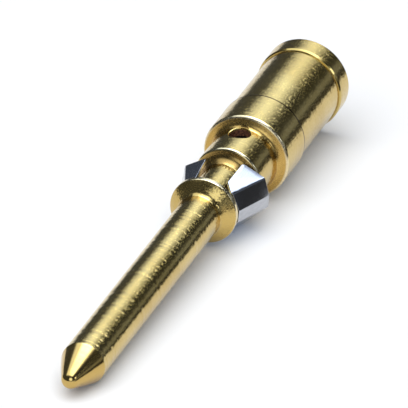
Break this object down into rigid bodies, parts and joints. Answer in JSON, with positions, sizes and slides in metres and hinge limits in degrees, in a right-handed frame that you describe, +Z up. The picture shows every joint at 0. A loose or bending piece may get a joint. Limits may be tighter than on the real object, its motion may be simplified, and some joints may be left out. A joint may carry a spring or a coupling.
{
  "type": "crimp contact",
  "caption": "Turned male crimp contact with a rounded pin, a collar, a drilled crimp barrel with an inspection hole, and a flared spring clip that locks it in a connector insert.",
  "frame": {"origin": "centre of the part's box at the height of the table that it lies on", "axes": "+X along the contact towards the tip of its pin, which dips about 3 degrees; +Z up, through the inspection hole and the clip's slot"},
  "size_m": [0.03, 0.004, 0.0044],
  "materials": {
    "gold_plating": "thin gold plating on turned brass, bright, with fine turning rings",
    "spring_steel": "bright rolled spring sheet, folded"
  },
  "bodies": {
    "root": {"contact_body": "gold_plating", "retention_clip": "spring_steel"}
  },
  "joints": []
}
